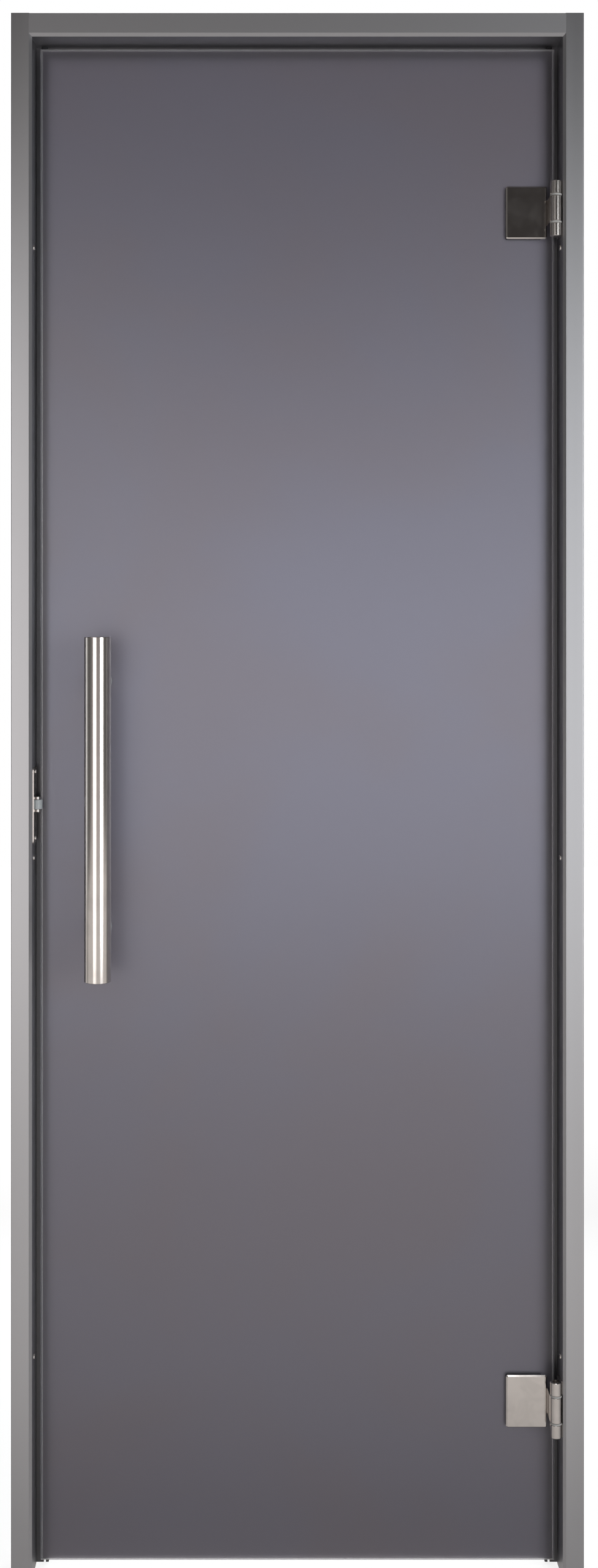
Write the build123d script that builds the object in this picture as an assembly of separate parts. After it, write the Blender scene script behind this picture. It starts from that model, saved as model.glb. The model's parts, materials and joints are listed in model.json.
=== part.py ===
from build123d import *
import math
import os

# Framed satin glass door for a steam room, in millimetres.
# x runs along the wall, with 0 on the hinge jamb's wall face and the latch jamb at negative x.
# y runs into the room, with 0 in the middle of the frame's depth. z is up from the floor.
# Inside the functions, u is the distance in from a jamb's wall face, v the depth behind the
# frame's front and w the distance down from the frame's top.

# Frame: hollow extrusions with a bevelled inner front edge, and a slimmer one as the stop
FRAME_WIDTH = 690.0
FRAME_HEIGHT = 1890.0
JAMB_FACE = 21.5
HEAD_FACE = 24.0
BEVEL = 3.5
PROFILE_WALL = 2.0
OUTER_EDGE_RADIUS = 1.2
STOP_THICKNESS = 13.0
STOP_PROJECTION = 15.0
STOP_WALL = 1.5
STOP_EDGE_RADIUS = 1.0
FIXING_HOLE_RADIUS = 3.0
FIXING_HOLE_DEPTH = 20.0
LOW_FIXING_FROM_FLOOR = 264.0
MIDDLE_FIXING_FROM_FLOOR = 870.0
TOP_FIXING_FROM_TOP = 279.0

# Glass leaf and the rubber seals it closes on
GLASS_THICKNESS = 8.0
GLASS_RECESS = 35.0
HINGE_GAP = 5.0
LATCH_GAP = 6.0
TOP_GAP = 5.0
FLOOR_GAP = 8.0
ARRIS = 2.0
SEAL_THICKNESS = 3.6
SEAL_WIDTH = 7.5
SEAL_EDGE = 1.0
SEAL_ROUNDING = 2.4
SEAL_CLEARANCE = 0.4
SEAL_JOINT = 0.2
SEAL_STEM = 2.5
SEAL_BARB = 4.2
SEAL_BARB_TIP = 1.8
SEAL_BARB_DEPTH = 1.6

# Hinges: a barrel of three knuckles in the reveal, with the glass clamped between plates
LOWER_HINGE_FROM_FLOOR = 205.0
UPPER_HINGE_FROM_TOP = 234.0
BARREL_RADIUS = 7.0
BARREL_GAP = 0.5
BARREL_SETBACK = 1.5
END_KNUCKLE = 16.0
MIDDLE_KNUCKLE = 31.0
KNUCKLE_EDGE = 0.6
WASHER_THICKNESS = 2.0
WASHER_RADIUS = 7.0
AXIAL_PLAY = 0.1
PIN_RADIUS = 4.0
PIN_CLEARANCE = 0.05
PIN_RECESS = 4.0
HINGE_LEAF = 3.0
FRAME_LEAF_END = 22.0
FRAME_LEAF_ROUNDING = 4.0
KNUCKLE_RELIEF = 1.5
COVER_WIDTH = 50.0
COVER_HEIGHT = 64.0
COVER_THICKNESS = 3.0
COVER_ROUNDING = 2.5
COVER_BEVEL = 1.6
COVER_SIDE_GAP = 0.5
CLAMP_MARGIN = 2.0
CLAMP_THICKNESS = 2.5
GASKET_THICKNESS = 1.0
INNER_PLATE_THICKNESS = 4.0
INNER_PLATE_SETBACK = 6.0
BOSS_RADIUS = 5.0
BOSS_CLEARANCE = 1.0
BOSS_SPACING = 36.0

# Pull handles: a round bar on two posts each side, held by studs through the glass
HANDLE_FROM_EDGE = 107.0
HANDLE_HEIGHT = 934.0
HANDLE_LENGTH = 410.0
HANDLE_RADIUS = 16.0
HANDLE_WALL = 1.5
HANDLE_CAP = 2.0
HANDLE_CAP_EDGE = 0.6
HANDLE_SPIGOT = 6.0
HANDLE_STANDOFF = 62.0
POST_SPACING = 300.0
POST_RADIUS = 10.5
POST_EDGE = 0.5
FOOT_WASHER_RADIUS = 12.0
FOOT_WASHER_THICKNESS = 1.5
STUD_RADIUS = 4.0
STUD_CLEARANCE = 0.1
STUD_GLASS_CLEARANCE = 1.0
STUD_GRIP = 15.0
FIT_GAP = 0.05

# Roller catch in the latch jamb: a sprung carriage with a nylon roller in front of the glass
CATCH_HEIGHT = 934.0
CATCH_PLATE_LENGTH = 92.0
CATCH_PLATE_FRONT = 8.0
CATCH_PLATE_BACK = 42.0
CATCH_PLATE_THICKNESS = 1.5
CATCH_PLATE_ROUNDING = 3.0
CATCH_TRAVEL = 6.0
ROLLER_RADIUS = 6.5
ROLLER_HEIGHT = 11.5
ROLLER_EDGE = 0.6
ROLLER_FROM_REVEAL = 3.0
ROLLER_TO_GLASS = 0.4
ROLLER_SIDE_GAP = 0.45
AXLE_RADIUS = 1.5
AXLE_FIT = 0.02
AXLE_CLEARANCE = 0.05
EAR_THICKNESS = 3.0
EAR_RADIUS = 4.0
CARRIAGE_HALF_DEPTH = 6.0
CARRIAGE_LENGTH = 8.5
CARRIAGE_RELIEF = 0.6
CASE_WALL = 1.2
CASE_CLEARANCE = 0.3
WINDOW_CLEARANCE = 0.8

# Places that follow from the sizes above
HINGE_HEIGHTS = {
    "lower": LOWER_HINGE_FROM_FLOOR,
    "upper": FRAME_HEIGHT - UPPER_HINGE_FROM_TOP,
}
FIXING_HEIGHTS = (
    LOW_FIXING_FROM_FLOOR,
    MIDDLE_FIXING_FROM_FLOOR,
    FRAME_HEIGHT - TOP_FIXING_FROM_TOP,
)
GLASS_BACK = GLASS_RECESS + GLASS_THICKNESS
STOP_FRONT = GLASS_BACK + SEAL_CLEARANCE + SEAL_THICKNESS
FRAME_DEPTH = STOP_FRONT + STOP_THICKNESS
JAMB_REVEAL = JAMB_FACE + BEVEL
SOFFIT = HEAD_FACE + BEVEL
STOP_EDGE = JAMB_REVEAL + STOP_PROJECTION
SEAL_CENTRE = STOP_PROJECTION - SEAL_EDGE - SEAL_WIDTH / 2
AXIS_U = JAMB_REVEAL + BARREL_GAP + BARREL_RADIUS
AXIS_V = BARREL_SETBACK + BARREL_RADIUS
BARREL_HEIGHT = 2 * END_KNUCKLE + 2 * WASHER_THICKNESS + MIDDLE_KNUCKLE
CLAMP_BACK = GLASS_RECESS - GASKET_THICKNESS
CLAMP_FRONT = CLAMP_BACK - CLAMP_THICKNESS
COVER_FRONT = CLAMP_FRONT - COVER_THICKNESS
COVER_START = AXIS_U + BARREL_RADIUS + COVER_SIDE_GAP
INNER_PLATE_BACK = GLASS_BACK + GASKET_THICKNESS + INNER_PLATE_THICKNESS
BOSS_U = COVER_START + COVER_WIDTH / 2
ROLLER_U = JAMB_REVEAL + ROLLER_FROM_REVEAL
GLASS_CORNER_U = JAMB_REVEAL + LATCH_GAP + ARRIS
ROLLER_V = GLASS_RECESS - math.sqrt(
    (ROLLER_RADIUS + ROLLER_TO_GLASS) ** 2 - (GLASS_CORNER_U - ROLLER_U) ** 2
)
LOW = (Align.MIN, Align.MIN, Align.MIN)
FOOT = (Align.CENTER, Align.CENTER, Align.MIN)


def hinge_x(u):
    return -u


def latch_x(u):
    return u - FRAME_WIDTH


def depth_y(v):
    return v - FRAME_DEPTH / 2


def block(x_span, y_span, z_span):
    """A box from three pairs of ends."""
    spans = [sorted(span) for span in (x_span, y_span, z_span)]
    sizes = [high - low for low, high in spans]
    return Pos(*[low for low, high in spans]) * Box(*sizes, align=LOW)


def upright(radius, x, y, z_span):
    """A vertical cylinder."""
    low, high = z_span
    return Pos(x, y, low) * Cylinder(radius, high - low, align=FOOT)


def crosswise(radius, x, z, v_span):
    """A cylinder along y, through the door."""
    low, high = sorted(v_span)
    return Pos(x, depth_y(low), z) * Rot(X=-90) * Cylinder(radius, high - low, align=FOOT)


def slab(x, z, width, height, rounding, v_span):
    """A plate with rounded corners, parallel to the glass."""
    low, high = v_span
    plane = Plane(origin=(x, depth_y(low), z), x_dir=(1, 0, 0), z_dir=(0, 1, 0))
    return extrude(plane * RectangleRounded(width, height, rounding), amount=high - low)


def frame_outline(face):
    """Outline of a frame profile across (u or w, v), bevelled towards the glass."""
    reveal = face + BEVEL
    corners = [
        (0, 0),
        (face, 0),
        (reveal, BEVEL),
        (reveal, FRAME_DEPTH),
        (0, FRAME_DEPTH),
    ]
    outline = make_face(Polyline(corners, close=True))
    front_corner = outline.vertices().sort_by_distance((0, 0, 0))[0]
    return fillet(front_corner, OUTER_EDGE_RADIUS)


def frame_section(face):
    """The outline as a hollow extrusion's section."""
    outline = frame_outline(face)
    return outline - offset(outline, amount=-PROFILE_WALL, kind=Kind.INTERSECTION)


def stop_section():
    """The stop's tube across (u or w past the reveal, v), slotted for the seal's foot."""
    outline = Pos(0, STOP_FRONT) * Rectangle(
        STOP_PROJECTION, STOP_THICKNESS, align=(Align.MIN, Align.MIN)
    )
    free_corners = outline.vertices().group_by(Axis.X)[-1]
    outline = fillet(free_corners, STOP_EDGE_RADIUS)
    tube = outline - offset(outline, amount=-STOP_WALL, kind=Kind.INTERSECTION)
    slot = Rectangle(SEAL_STEM + 2 * FIT_GAP, STOP_WALL, align=(Align.CENTER, Align.MIN))
    return tube - Pos(SEAL_CENTRE, STOP_FRONT) * slot


def on_latch_side(solid):
    return Pos(latch_x(0), depth_y(0), 0) * solid


def on_hinge_side(solid):
    return mirror(Pos(0, depth_y(0), 0) * solid, about=Plane.YZ)


def jamb():
    """A jamb standing at u = 0, v = 0, with holes for its wall fixings."""
    post = extrude(frame_section(JAMB_FACE), amount=FRAME_HEIGHT)
    for height in FIXING_HEIGHTS:
        hole = Rot(Y=90) * Cylinder(FIXING_HOLE_RADIUS, JAMB_REVEAL, align=FOOT)
        post -= Pos(0, FIXING_HOLE_DEPTH, height) * hole
    return post


def latch_jamb():
    pocket = block((latch_x(JAMB_REVEAL - PROFILE_WALL), latch_x(JAMB_REVEAL)), *catch_pocket())
    return on_latch_side(jamb()) - pocket


def crossbar(section, top, u):
    """A section across (w, v) run from side to side, w measured down from top."""
    start = latch_x(u)
    plane = Plane(origin=(start, depth_y(0), top), x_dir=(0, 0, -1), z_dir=(1, 0, 0))
    return extrude(plane * section, amount=hinge_x(u) - start)


def head():
    """The head runs between the jambs' front faces and is coped over their bevels."""
    rail = crossbar(frame_section(HEAD_FACE), FRAME_HEIGHT, JAMB_FACE)
    filled_jamb = extrude(frame_outline(JAMB_FACE), amount=FRAME_HEIGHT)
    return rail - on_latch_side(filled_jamb) - on_hinge_side(filled_jamb)


def jamb_stop():
    """A stop on the jamb's reveal, from the floor to the head."""
    return Pos(JAMB_REVEAL, 0, 0) * extrude(stop_section(), amount=FRAME_HEIGHT - SOFFIT)


def head_stop():
    """The stop under the head, between the jambs' stops."""
    return crossbar(stop_section(), FRAME_HEIGHT - SOFFIT, STOP_EDGE)


def seal_lip():
    """The seal's D-shaped strip, its flat side on the stop, placed as in stop_section."""
    strip = Rectangle(SEAL_WIDTH, SEAL_THICKNESS, align=(Align.CENTER, Align.MAX))
    nose = strip.vertices().group_by(Axis.Y)[0]
    return Pos(SEAL_CENTRE, STOP_FRONT) * fillet(nose, SEAL_ROUNDING)


def seal_foot():
    """The seal's stem through the slot, and its barb inside the stop."""
    inside = STOP_WALL + FIT_GAP
    tip = inside + SEAL_BARB_DEPTH
    outline = [
        (-SEAL_STEM / 2, 0),
        (SEAL_STEM / 2, 0),
        (SEAL_STEM / 2, inside),
        (SEAL_BARB / 2, inside),
        (SEAL_BARB_TIP / 2, tip),
        (-SEAL_BARB_TIP / 2, tip),
        (-SEAL_BARB / 2, inside),
        (-SEAL_STEM / 2, inside),
    ]
    return Pos(SEAL_CENTRE, STOP_FRONT) * make_face(Polyline(outline, close=True))


def jamb_seal():
    strip = extrude(seal_lip() + seal_foot(), amount=FRAME_HEIGHT - SOFFIT - FLOOR_GAP)
    return Pos(JAMB_REVEAL, 0, FLOOR_GAP) * strip


def head_seal():
    """The head's strip runs up to the jambs' strips, its foot only along the head's stop."""
    top = FRAME_HEIGHT - SOFFIT
    lip = crossbar(seal_lip(), top, STOP_EDGE - SEAL_EDGE + SEAL_JOINT)
    return lip + crossbar(seal_foot(), top, STOP_EDGE)


def hinge_centres():
    return HINGE_HEIGHTS.values()


def handle_post_heights():
    half = POST_SPACING / 2
    return (HANDLE_HEIGHT - half, HANDLE_HEIGHT + half)


def boss_heights(centre):
    half = BOSS_SPACING / 2
    return (centre - half, centre + half)


def glass_pane():
    pane = block(
        (latch_x(JAMB_REVEAL + LATCH_GAP), hinge_x(JAMB_REVEAL + HINGE_GAP)),
        (depth_y(GLASS_RECESS), depth_y(GLASS_BACK)),
        (FLOOR_GAP, FRAME_HEIGHT - SOFFIT - TOP_GAP),
    )
    rims = pane.faces().sort_by(Axis.Y)
    pane = chamfer(rims[0].edges() + rims[-1].edges(), ARRIS)
    through = (GLASS_RECESS, GLASS_BACK)
    for height in handle_post_heights():
        hole_radius = STUD_RADIUS + STUD_GLASS_CLEARANCE
        pane -= crosswise(hole_radius, latch_x(HANDLE_FROM_EDGE), height, through)
    for centre in hinge_centres():
        for height in boss_heights(centre):
            pane -= crosswise(BOSS_RADIUS + BOSS_CLEARANCE, hinge_x(BOSS_U), height, through)
    return pane


def knuckle(z_span):
    """A bored knuckle of the barrel with lightly broken edges."""
    low, high = z_span
    x, y = hinge_x(AXIS_U), depth_y(AXIS_V)
    ring = upright(BARREL_RADIUS, x, y, z_span)
    ends = ring.faces().filter_by(Axis.Z)
    ring = chamfer(ends.edges(), KNUCKLE_EDGE)
    return ring - upright(PIN_RADIUS + PIN_CLEARANCE, x, y, (low, high))


def barrel_spans(centre):
    """Heights of the lower knuckle, the middle knuckle and the upper knuckle."""
    bottom = centre - BARREL_HEIGHT / 2
    top = centre + BARREL_HEIGHT / 2
    middle = MIDDLE_KNUCKLE / 2 - AXIAL_PLAY
    return (
        (bottom, bottom + END_KNUCKLE),
        (centre - middle, centre + middle),
        (top - END_KNUCKLE, top),
    )


def pin_bore(z_span):
    radius = PIN_RADIUS + PIN_CLEARANCE
    return upright(radius, hinge_x(AXIS_U), depth_y(AXIS_V), z_span)


def hinge_frame_leaf(centre):
    """The fixed leaf flat on the reveal, rolled into the two end knuckles."""
    lower, _, upper = barrel_spans(centre)
    whole = (lower[0], upper[1])
    thickness = (hinge_x(JAMB_REVEAL), hinge_x(JAMB_REVEAL + HINGE_LEAF))
    leaf_back = AXIS_V + FRAME_LEAF_END
    leaf_front = AXIS_V + BARREL_RADIUS + KNUCKLE_RELIEF
    leaf = block(thickness, (depth_y(leaf_front), depth_y(leaf_back)), whole)
    corners = leaf.edges().filter_by(Axis.X).group_by(Axis.Y)[-1]
    leaf = fillet(corners, FRAME_LEAF_ROUNDING)
    for span in (lower, upper):
        leaf += block(thickness, (depth_y(AXIS_V), depth_y(leaf_front)), span)
        leaf += knuckle(span)
    return leaf - pin_bore(whole)


def hinge_glass_leaf(centre):
    """The moving leaf: middle knuckle, an arm straight back and the flat clamped on the glass."""
    _, middle, _ = barrel_spans(centre)
    arm_outer = AXIS_U + BARREL_RADIUS
    arm = block(
        (hinge_x(arm_outer - HINGE_LEAF), hinge_x(arm_outer)),
        (depth_y(AXIS_V), depth_y(CLAMP_BACK)),
        middle,
    )
    clamp_start = COVER_START + CLAMP_MARGIN
    clamp_end = COVER_START + COVER_WIDTH - CLAMP_MARGIN
    bridge = block(
        (hinge_x(arm_outer - HINGE_LEAF), hinge_x(clamp_start + COVER_ROUNDING)),
        (depth_y(CLAMP_FRONT), depth_y(CLAMP_BACK)),
        middle,
    )
    clamp = slab(
        hinge_x((clamp_start + clamp_end) / 2),
        centre,
        clamp_end - clamp_start,
        COVER_HEIGHT - 2 * CLAMP_MARGIN,
        COVER_ROUNDING,
        (CLAMP_FRONT, CLAMP_BACK),
    )
    return arm + bridge + clamp + knuckle(middle) - pin_bore(middle)


def hinge_cover_plate(centre):
    plate = slab(
        hinge_x(COVER_START + COVER_WIDTH / 2),
        centre,
        COVER_WIDTH,
        COVER_HEIGHT,
        COVER_ROUNDING,
        (COVER_FRONT, CLAMP_FRONT),
    )
    front = plate.faces().sort_by(Axis.Y)[0]
    return chamfer(front.edges(), COVER_BEVEL)


def clamp_face(centre, v_span):
    """A plate or gasket of the inner clamp's outline."""
    start = COVER_START + INNER_PLATE_SETBACK
    end = COVER_START + COVER_WIDTH
    return slab(
        hinge_x((start + end) / 2), centre, end - start, COVER_HEIGHT, COVER_ROUNDING, v_span
    )


def hinge_inner_plate(centre):
    """The clamp plate inside the room, with two bosses that pass through the glass."""
    seat = GLASS_BACK + GASKET_THICKNESS
    plate = clamp_face(centre, (seat, INNER_PLATE_BACK))
    back = plate.faces().sort_by(Axis.Y)[-1]
    plate = chamfer(back.edges(), COVER_BEVEL)
    for height in boss_heights(centre):
        plate += crosswise(BOSS_RADIUS, hinge_x(BOSS_U), height, (CLAMP_BACK, seat))
    return plate


def hinge_gaskets(centre):
    """The two fibre gaskets, on the glass's front and back."""
    front = clamp_face(centre, (CLAMP_BACK, GLASS_RECESS))
    back = clamp_face(centre, (GLASS_BACK, GLASS_BACK + GASKET_THICKNESS))
    for height in boss_heights(centre):
        hole_radius = BOSS_RADIUS + BOSS_CLEARANCE
        front -= crosswise(hole_radius, hinge_x(BOSS_U), height, (CLAMP_BACK, GLASS_RECESS))
        back -= crosswise(
            hole_radius, hinge_x(BOSS_U), height, (GLASS_BACK, GLASS_BACK + GASKET_THICKNESS)
        )
    return Compound([front, back])


def hinge_pin(centre):
    """The pin, sunk below the top knuckle's mouth."""
    span = (centre - BARREL_HEIGHT / 2, centre + BARREL_HEIGHT / 2 - PIN_RECESS)
    return upright(PIN_RADIUS, hinge_x(AXIS_U), depth_y(AXIS_V), span)


def hinge_washers(centre):
    """The two nylon rings between the knuckles."""
    lower, _, upper = barrel_spans(centre)
    rings = []
    for span in (
        (lower[1], lower[1] + WASHER_THICKNESS),
        (upper[0] - WASHER_THICKNESS, upper[0]),
    ):
        ring = upright(WASHER_RADIUS, hinge_x(AXIS_U), depth_y(AXIS_V), span)
        rings.append(ring - pin_bore(span))
    return Compound(rings)


def facing_side(side, distance):
    """Depth of a point this far off the glass, on the outer or the inner side."""
    return GLASS_RECESS - distance if side == "outer" else GLASS_BACK + distance


def handle_tube(side):
    """The bar's tube between its end caps."""
    x, y = latch_x(HANDLE_FROM_EDGE), depth_y(facing_side(side, HANDLE_STANDOFF))
    half = HANDLE_LENGTH / 2 - HANDLE_CAP
    span = (HANDLE_HEIGHT - half, HANDLE_HEIGHT + half)
    bore = upright(HANDLE_RADIUS - HANDLE_WALL, x, y, span)
    return upright(HANDLE_RADIUS, x, y, span) - bore


def handle_caps(side):
    """The flat end discs, each with a spigot in the tube."""
    x, y = latch_x(HANDLE_FROM_EDGE), depth_y(facing_side(side, HANDLE_STANDOFF))
    caps = []
    for way in (-1, 1):
        outer = HANDLE_HEIGHT + way * HANDLE_LENGTH / 2
        rim = outer - way * HANDLE_CAP
        disc = upright(HANDLE_RADIUS, x, y, sorted((outer, rim)))
        end = disc.faces().sort_by(Axis.Z)[-1 if way > 0 else 0]
        disc = chamfer(end.edges(), HANDLE_CAP_EDGE)
        spigot_radius = HANDLE_RADIUS - HANDLE_WALL - FIT_GAP
        spigot = upright(spigot_radius, x, y, sorted((rim, rim - way * HANDLE_SPIGOT)))
        caps.append(disc + spigot)
    return Compound(caps)


def handle_posts(side):
    """The two posts, coped to the bar and bored for the studs."""
    x, y = latch_x(HANDLE_FROM_EDGE), depth_y(facing_side(side, HANDLE_STANDOFF))
    foot = facing_side(side, FOOT_WASHER_THICKNESS)
    grip = facing_side(side, FOOT_WASHER_THICKNESS + STUD_GRIP)
    bar = upright(
        HANDLE_RADIUS + FIT_GAP,
        x,
        y,
        (HANDLE_HEIGHT - HANDLE_LENGTH / 2, HANDLE_HEIGHT + HANDLE_LENGTH / 2),
    )
    posts = []
    for height in handle_post_heights():
        post = crosswise(POST_RADIUS, x, height, (facing_side(side, HANDLE_STANDOFF), foot))
        seat = post.faces().filter_by(Axis.Y).sort_by(Axis.Y)[-1 if side == "outer" else 0]
        post = chamfer(seat.edges(), POST_EDGE)
        post -= crosswise(STUD_RADIUS + STUD_CLEARANCE, x, height, (foot, grip))
        posts.append(post - bar)
    return Compound(posts)


def handle_washers(side):
    """The rings between the posts and the glass."""
    x = latch_x(HANDLE_FROM_EDGE)
    span = (facing_side(side, 0), facing_side(side, FOOT_WASHER_THICKNESS))
    rings = []
    for height in handle_post_heights():
        ring = crosswise(FOOT_WASHER_RADIUS, x, height, span)
        rings.append(ring - crosswise(STUD_RADIUS + STUD_CLEARANCE, x, height, span))
    return Compound(rings)


def handle_studs():
    """The studs through the glass that draw both handles together."""
    reach = FOOT_WASHER_THICKNESS + STUD_GRIP
    span = (facing_side("outer", reach), facing_side("inner", reach))
    x = latch_x(HANDLE_FROM_EDGE)
    return Compound([crosswise(STUD_RADIUS, x, height, span) for height in handle_post_heights()])


def carriage_half_height():
    return ROLLER_HEIGHT / 2 + ROLLER_SIDE_GAP + EAR_THICKNESS


def roller_depth_span(margin):
    """Depth taken by the roller, with a margin each way."""
    reach = ROLLER_RADIUS + margin
    return (depth_y(ROLLER_V - reach), depth_y(ROLLER_V + reach))


def catch_window():
    """Depth and height of the opening that the roller and its ears slide through."""
    half = carriage_half_height() + WINDOW_CLEARANCE
    return roller_depth_span(WINDOW_CLEARANCE), (CATCH_HEIGHT - half, CATCH_HEIGHT + half)


def catch_pocket():
    """Depth and height of the jamb's cut-out, which takes the case."""
    half = carriage_half_height() + WINDOW_CLEARANCE + CASE_WALL + CASE_CLEARANCE
    margin = WINDOW_CLEARANCE + CASE_WALL + CASE_CLEARANCE
    return roller_depth_span(margin), (CATCH_HEIGHT - half, CATCH_HEIGHT + half)


def catch_plate():
    """The face plate on the reveal, with a window for the roller."""
    plane = Plane(
        origin=(
            latch_x(JAMB_REVEAL),
            depth_y((CATCH_PLATE_FRONT + CATCH_PLATE_BACK) / 2),
            CATCH_HEIGHT,
        ),
        x_dir=(0, 1, 0),
        z_dir=(1, 0, 0),
    )
    outline = RectangleRounded(
        CATCH_PLATE_BACK - CATCH_PLATE_FRONT, CATCH_PLATE_LENGTH, CATCH_PLATE_ROUNDING
    )
    plate = extrude(plane * outline, amount=CATCH_PLATE_THICKNESS)
    x_span = (latch_x(JAMB_REVEAL), latch_x(JAMB_REVEAL + CATCH_PLATE_THICKNESS))
    return plate - block(x_span, *catch_window())


def catch_case():
    """The case inside the jamb, open towards the plate."""
    y_span, z_span = catch_window()
    back = ROLLER_U - ROLLER_RADIUS - CARRIAGE_RELIEF - CARRIAGE_LENGTH - CATCH_TRAVEL
    x_span = (latch_x(back - CASE_CLEARANCE), latch_x(JAMB_REVEAL))
    grow = CASE_WALL
    shell = block(
        (x_span[0] - grow, x_span[1]),
        (y_span[0] - grow, y_span[1] + grow),
        (z_span[0] - grow, z_span[1] + grow),
    )
    return shell - block(x_span, y_span, z_span)


def catch_carriage():
    """The sliding block with two ears that hold the roller's axle."""
    y = depth_y(ROLLER_V)
    front = ROLLER_U - ROLLER_RADIUS - CARRIAGE_RELIEF
    half = carriage_half_height()
    z_span = (CATCH_HEIGHT - half, CATCH_HEIGHT + half)
    y_span = (y - CARRIAGE_HALF_DEPTH, y + CARRIAGE_HALF_DEPTH)
    carriage = block((latch_x(front - CARRIAGE_LENGTH), latch_x(front)), y_span, z_span)
    ear_depth = (y - EAR_RADIUS, y + EAR_RADIUS)
    for low, high in (
        (z_span[0], z_span[0] + EAR_THICKNESS),
        (z_span[1] - EAR_THICKNESS, z_span[1]),
    ):
        ear = block((latch_x(front), latch_x(ROLLER_U)), ear_depth, (low, high))
        ear += upright(EAR_RADIUS, latch_x(ROLLER_U), y, (low, high))
        carriage += ear - upright(AXLE_RADIUS + AXLE_FIT, latch_x(ROLLER_U), y, (low, high))
    return carriage


def catch_axle():
    half = carriage_half_height()
    span = (CATCH_HEIGHT - half, CATCH_HEIGHT + half)
    return upright(AXLE_RADIUS, latch_x(ROLLER_U), depth_y(ROLLER_V), span)


def catch_roller():
    x, y = latch_x(ROLLER_U), depth_y(ROLLER_V)
    span = (CATCH_HEIGHT - ROLLER_HEIGHT / 2, CATCH_HEIGHT + ROLLER_HEIGHT / 2)
    roller = upright(ROLLER_RADIUS, x, y, span)
    roller = chamfer(roller.faces().filter_by(Axis.Z).edges(), ROLLER_EDGE)
    return roller - upright(AXLE_RADIUS + AXLE_CLEARANCE, x, y, span)


def all_parts():
    """Every sub-part by its node name."""
    parts = {
        "latch_jamb": latch_jamb(),
        "hinge_jamb": on_hinge_side(jamb()),
        "head": head(),
        "latch_stop": on_latch_side(jamb_stop()),
        "hinge_stop": on_hinge_side(jamb_stop()),
        "head_stop": head_stop(),
        "latch_seal": on_latch_side(jamb_seal()),
        "hinge_seal": on_hinge_side(jamb_seal()),
        "head_seal": head_seal(),
        "glass_pane": glass_pane(),
        "handle_studs": handle_studs(),
        "catch_plate": catch_plate(),
        "catch_case": catch_case(),
        "catch_carriage": catch_carriage(),
        "catch_axle": catch_axle(),
        "catch_roller": catch_roller(),
    }
    for place, centre in HINGE_HEIGHTS.items():
        parts[f"{place}_hinge_frame_leaf"] = hinge_frame_leaf(centre)
        parts[f"{place}_hinge_glass_leaf"] = hinge_glass_leaf(centre)
        parts[f"{place}_hinge_cover_plate"] = hinge_cover_plate(centre)
        parts[f"{place}_hinge_inner_plate"] = hinge_inner_plate(centre)
        parts[f"{place}_hinge_gaskets"] = hinge_gaskets(centre)
        parts[f"{place}_hinge_pin"] = hinge_pin(centre)
        parts[f"{place}_hinge_washers"] = hinge_washers(centre)
    for side in ("outer", "inner"):
        parts[f"{side}_handle_tube"] = handle_tube(side)
        parts[f"{side}_handle_caps"] = handle_caps(side)
        parts[f"{side}_handle_posts"] = handle_posts(side)
        parts[f"{side}_handle_washers"] = handle_washers(side)
    return parts


os.makedirs("parts", exist_ok=True)
for node, shape in all_parts().items():
    export_step(shape, f"parts/{node}.step")
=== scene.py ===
import json
import math

import bmesh
import bpy
from bpy.props import FloatProperty, FloatVectorProperty, IntProperty, PointerProperty
from mathutils import Matrix, Vector


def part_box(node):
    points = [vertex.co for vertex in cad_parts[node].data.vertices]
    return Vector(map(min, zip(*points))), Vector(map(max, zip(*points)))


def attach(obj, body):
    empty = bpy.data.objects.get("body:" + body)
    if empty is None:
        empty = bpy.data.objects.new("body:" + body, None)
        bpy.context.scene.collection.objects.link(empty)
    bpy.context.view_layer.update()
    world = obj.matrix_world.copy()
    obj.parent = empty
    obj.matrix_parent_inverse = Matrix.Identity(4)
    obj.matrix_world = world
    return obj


bl_info = {
    "name": "Steam Room Door",
    "version": (1, 0, 0),
    "blender": (4, 5, 0),
    "location": "3D View > Sidebar > Steam Door",
    "description": "Finishes, screws and studio for a framed satin glass door",
    "category": "Object",
}

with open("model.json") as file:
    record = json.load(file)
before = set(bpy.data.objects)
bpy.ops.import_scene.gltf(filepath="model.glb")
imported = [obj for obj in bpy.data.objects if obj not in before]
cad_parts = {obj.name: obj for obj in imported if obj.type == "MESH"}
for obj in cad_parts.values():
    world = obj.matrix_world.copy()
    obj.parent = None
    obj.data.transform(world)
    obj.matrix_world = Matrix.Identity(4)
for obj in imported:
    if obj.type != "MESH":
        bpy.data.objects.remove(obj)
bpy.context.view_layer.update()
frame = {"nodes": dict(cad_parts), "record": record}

HINGES = ("lower", "upper")
SIDES = ("outer", "inner")
JAMBS = ("latch_jamb", "hinge_jamb")
UPRIGHT_STOPS = ("latch_stop", "hinge_stop")
SEALS = ("latch_seal", "hinge_seal", "head_seal")
ALONG_X = 0
ALONG_Z = 2


def color_property(name, description, default):
    return FloatVectorProperty(
        name=name, description=description, default=default, subtype="COLOR", min=0, max=1
    )


def share_property(name, description, default):
    return FloatProperty(
        name=name, description=description, default=default, subtype="FACTOR", min=0, max=1
    )


def length_property(name, description, default):
    return FloatProperty(
        name=name, description=description, default=default, subtype="DISTANCE", unit="LENGTH", min=0
    )


def scale_property(name, description, default):
    return FloatProperty(name=name, description=description, default=default, min=0)


def place_property(name, description, default):
    return FloatVectorProperty(
        name=name, description=description, default=default, subtype="TRANSLATION", unit="LENGTH"
    )


def spread_property(name, description, degrees):
    return FloatProperty(
        name=name, description=description, default=math.radians(degrees), subtype="ANGLE",
        unit="ROTATION", min=0.1, max=math.pi,
    )


def power_property(name, watts):
    return FloatProperty(name=name, description="Watts", default=watts, min=0)


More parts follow.
